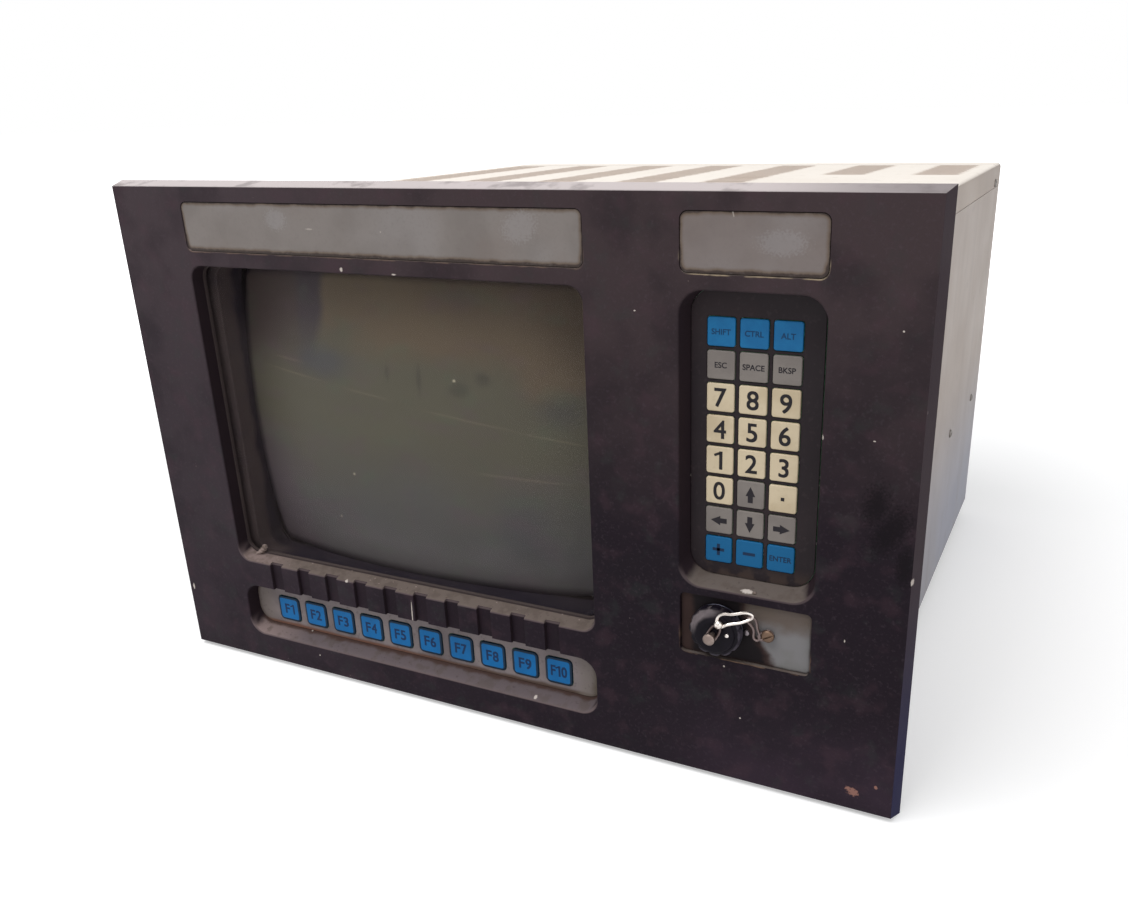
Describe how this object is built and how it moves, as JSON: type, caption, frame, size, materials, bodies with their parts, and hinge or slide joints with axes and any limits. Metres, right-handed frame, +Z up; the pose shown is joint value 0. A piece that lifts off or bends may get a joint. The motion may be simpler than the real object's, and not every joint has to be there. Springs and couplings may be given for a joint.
{
  "type": "industrial operator panel",
  "caption": "Rack-width operator panel: thick dark front with a picture-tube screen, a row of function keys, a keypad and a capped keyboard socket, before a vented sheet-metal case.",
  "frame": {"origin": "on the level of the front panel's lower edge, under the middle of the whole object's width and depth", "axes": "+X to the right seen from the front, +Y back from the front panel into the case, +Z up"},
  "size_m": [0.4826, 0.4598, 0.3104],
  "materials": {
    "charcoal_paint": "worn charcoal enamel on a thick machined plate",
    "seal_rubber": "black foam rubber",
    "label_grey": "satin grey label foil, dirty at its edges",
    "window_glass": "clear sheet glass",
    "tube_glass": "grey-green tube glass",
    "frame_black": "black moulding",
    "board_green": "circuit board with parts",
    "coil_copper": "enamelled copper winding",
    "strip_grey": "beige-grey printed overlay",
    "overlay_black": "near-black printed overlay",
    "key_blue": "blue key",
    "key_grey": "grey key",
    "key_cream": "cream key",
    "connector_plate_grey": "rusty grey plate",
    "dark_metal": "dark anodised metal",
    "bright_wire": "bright round wire",
    "brass": "dull brass",
    "case_paint": "beige-grey enamel on sheet steel",
    "cover_paint": "cream enamel on sheet steel",
    "zinc_sheet": "zinc-plated sheet steel",
    "fan_black": "black moulding"
  },
  "bodies": {
    "housing": {"front_panel": "charcoal_paint", "panel_seal": "seal_rubber", "left_label_plate": "label_grey", "right_label_plate": "label_grey", "safety_window": "window_glass", "picture_tube": "tube_glass", "tube_frame": "frame_black", "deflection_board": "board_green", "deflection_yoke": "coil_copper", "function_key_overlay": "strip_grey", "function_key_board": "board_green", "keypad_overlay": "overlay_black", "keypad_board": "board_green", "connector_plate": "connector_plate_grey", "keyboard_socket": "dark_metal", "cap_chain": "bright_wire", "chain_screw": "brass", "case": "case_paint", "top_cover": "cover_paint", "rear_panel": "zinc_sheet", "power_supply": "zinc_sheet", "processor_board": "board_green", "fan_frame": "fan_black"},
    "function_key_1": {"function_key_1": "key_blue"},
    "function_key_2": {"function_key_2": "key_blue"},
    "function_key_3": {"function_key_3": "key_blue"},
    "function_key_4": {"function_key_4": "key_blue"},
    "function_key_5": {"function_key_5": "key_blue"},
    "function_key_6": {"function_key_6": "key_blue"},
    "function_key_7": {"function_key_7": "key_blue"},
    "function_key_8": {"function_key_8": "key_blue"},
    "function_key_9": {"function_key_9": "key_blue"},
    "function_key_10": {"function_key_10": "key_blue"},
    "key_shift": {"key_shift": "key_blue"},
    "key_ctrl": {"key_ctrl": "key_blue"},
    "key_alt": {"key_alt": "key_blue"},
    "key_esc": {"key_esc": "key_grey"},
    "key_space": {"key_space": "key_grey"},
    "key_backspace": {"key_backspace": "key_grey"},
    "key_7": {"key_7": "key_cream"},
    "key_8": {"key_8": "key_cream"},
    "key_9": {"key_9": "key_cream"},
    "key_4": {"key_4": "key_cream"},
    "key_5": {"key_5": "key_cream"},
    "key_6": {"key_6": "key_cream"},
    "key_1": {"key_1": "key_cream"},
    "key_2": {"key_2": "key_cream"},
    "key_3": {"key_3": "key_cream"},
    "key_0": {"key_0": "key_cream"},
    "key_up": {"key_up": "key_grey"},
    "key_point": {"key_point": "key_cream"},
    "key_left": {"key_left": "key_grey"},
    "key_down": {"key_down": "key_grey"},
    "key_right": {"key_right": "key_grey"},
    "key_plus": {"key_plus": "key_blue"},
    "key_minus": {"key_minus": "key_blue"},
    "key_enter": {"key_enter": "key_blue"},
    "dust_cap": {"dust_cap": "dark_metal"},
    "fan_rotor": {"fan_rotor": "fan_black"},
    "power_switch": {"power_switch": "fan_black"}
  },
  "joints": [
    {"name": "dust_cap_turn", "type": "hinge", "parent": "housing", "child": "dust_cap", "pos_m": [0.1444, -0.2159, 0.09215], "axis": [0, -1, 0], "range_deg": [0, 90]},
    {"name": "fan_spin", "type": "hinge", "parent": "housing", "child": "fan_rotor", "pos_m": [-0.12, 0.2076, 0.19], "axis": [0, 1, 0], "continuous": true},
    {"name": "power_switch_rock", "type": "hinge", "parent": "housing", "child": "power_switch", "pos_m": [0.1788, 0.2234, 0.0699], "axis": [1, 0, 0], "range_deg": [-16, 0]},
    {"name": "function_key_1_press", "type": "slide", "parent": "housing", "child": "function_key_1", "axis": [0, 1, 0], "range_m": [0, 0.0005], "stiffness_N_per_m": 3000},
    {"name": "function_key_2_press", "type": "slide", "parent": "housing", "child": "function_key_2", "axis": [0, 1, 0], "range_m": [0, 0.0005], "stiffness_N_per_m": 3000},
    {"name": "function_key_3_press", "type": "slide", "parent": "housing", "child": "function_key_3", "axis": [0, 1, 0], "range_m": [0, 0.0005], "stiffness_N_per_m": 3000},
    {"name": "function_key_4_press", "type": "slide", "parent": "housing", "child": "function_key_4", "axis": [0, 1, 0], "range_m": [0, 0.0005], "stiffness_N_per_m": 3000},
    {"name": "function_key_5_press", "type": "slide", "parent": "housing", "child": "function_key_5", "axis": [0, 1, 0], "range_m": [0, 0.0005], "stiffness_N_per_m": 3000},
    {"name": "function_key_6_press", "type": "slide", "parent": "housing", "child": "function_key_6", "axis": [0, 1, 0], "range_m": [0, 0.0005], "stiffness_N_per_m": 3000},
    {"name": "function_key_7_press", "type": "slide", "parent": "housing", "child": "function_key_7", "axis": [0, 1, 0], "range_m": [0, 0.0005], "stiffness_N_per_m": 3000},
    {"name": "function_key_8_press", "type": "slide", "parent": "housing", "child": "function_key_8", "axis": [0, 1, 0], "range_m": [0, 0.0005], "stiffness_N_per_m": 3000},
    {"name": "function_key_9_press", "type": "slide", "parent": "housing", "child": "function_key_9", "axis": [0, 1, 0], "range_m": [0, 0.0005], "stiffness_N_per_m": 3000},
    {"name": "function_key_10_press", "type": "slide", "parent": "housing", "child": "function_key_10", "axis": [0, 1, 0], "range_m": [0, 0.0005], "stiffness_N_per_m": 3000},
    {"name": "key_shift_press", "type": "slide", "parent": "housing", "child": "key_shift", "axis": [0, 1, 0], "range_m": [0, 0.0005], "stiffness_N_per_m": 3000},
    {"name": "key_ctrl_press", "type": "slide", "parent": "housing", "child": "key_ctrl", "axis": [0, 1, 0], "range_m": [0, 0.0005], "stiffness_N_per_m": 3000},
    {"name": "key_alt_press", "type": "slide", "parent": "housing", "child": "key_alt", "axis": [0, 1, 0], "range_m": [0, 0.0005], "stiffness_N_per_m": 3000},
    {"name": "key_esc_press", "type": "slide", "parent": "housing", "child": "key_esc", "axis": [0, 1, 0], "range_m": [0, 0.0005], "stiffness_N_per_m": 3000},
    {"name": "key_space_press", "type": "slide", "parent": "housing", "child": "key_space", "axis": [0, 1, 0], "range_m": [0, 0.0005], "stiffness_N_per_m": 3000},
    {"name": "key_backspace_press", "type": "slide", "parent": "housing", "child": "key_backspace", "axis": [0, 1, 0], "range_m": [0, 0.0005], "stiffness_N_per_m": 3000},
    {"name": "key_7_press", "type": "slide", "parent": "housing", "child": "key_7", "axis": [0, 1, 0], "range_m": [0, 0.0005], "stiffness_N_per_m": 3000},
    {"name": "key_8_press", "type": "slide", "parent": "housing", "child": "key_8", "axis": [0, 1, 0], "range_m": [0, 0.0005], "stiffness_N_per_m": 3000},
    {"name": "key_9_press", "type": "slide", "parent": "housing", "child": "key_9", "axis": [0, 1, 0], "range_m": [0, 0.0005], "stiffness_N_per_m": 3000},
    {"name": "key_4_press", "type": "slide", "parent": "housing", "child": "key_4", "axis": [0, 1, 0], "range_m": [0, 0.0005], "stiffness_N_per_m": 3000},
    {"name": "key_5_press", "type": "slide", "parent": "housing", "child": "key_5", "axis": [0, 1, 0], "range_m": [0, 0.0005], "stiffness_N_per_m": 3000},
    {"name": "key_6_press", "type": "slide", "parent": "housing", "child": "key_6", "axis": [0, 1, 0], "range_m": [0, 0.0005], "stiffness_N_per_m": 3000},
    {"name": "key_1_press", "type": "slide", "parent": "housing", "child": "key_1", "axis": [0, 1, 0], "range_m": [0, 0.0005], "stiffness_N_per_m": 3000},
    {"name": "key_2_press", "type": "slide", "parent": "housing", "child": "key_2", "axis": [0, 1, 0], "range_m": [0, 0.0005], "stiffness_N_per_m": 3000},
    {"name": "key_3_press", "type": "slide", "parent": "housing", "child": "key_3", "axis": [0, 1, 0], "range_m": [0, 0.0005], "stiffness_N_per_m": 3000},
    {"name": "key_0_press", "type": "slide", "parent": "housing", "child": "key_0", "axis": [0, 1, 0], "range_m": [0, 0.0005], "stiffness_N_per_m": 3000},
    {"name": "key_up_press", "type": "slide", "parent": "housing", "child": "key_up", "axis": [0, 1, 0], "range_m": [0, 0.0005], "stiffness_N_per_m": 3000},
    {"name": "key_point_press", "type": "slide", "parent": "housing", "child": "key_point", "axis": [0, 1, 0], "range_m": [0, 0.0005], "stiffness_N_per_m": 3000},
    {"name": "key_left_press", "type": "slide", "parent": "housing", "child": "key_left", "axis": [0, 1, 0], "range_m": [0, 0.0005], "stiffness_N_per_m": 3000},
    {"name": "key_down_press", "type": "slide", "parent": "housing", "child": "key_down", "axis": [0, 1, 0], "range_m": [0, 0.0005], "stiffness_N_per_m": 3000},
    {"name": "key_right_press", "type": "slide", "parent": "housing", "child": "key_right", "axis": [0, 1, 0], "range_m": [0, 0.0005], "stiffness_N_per_m": 3000},
    {"name": "key_plus_press", "type": "slide", "parent": "housing", "child": "key_plus", "axis": [0, 1, 0], "range_m": [0, 0.0005], "stiffness_N_per_m": 3000},
    {"name": "key_minus_press", "type": "slide", "parent": "housing", "child": "key_minus", "axis": [0, 1, 0], "range_m": [0, 0.0005], "stiffness_N_per_m": 3000},
    {"name": "key_enter_press", "type": "slide", "parent": "housing", "child": "key_enter", "axis": [0, 1, 0], "range_m": [0, 0.0005], "stiffness_N_per_m": 3000}
  ]
}
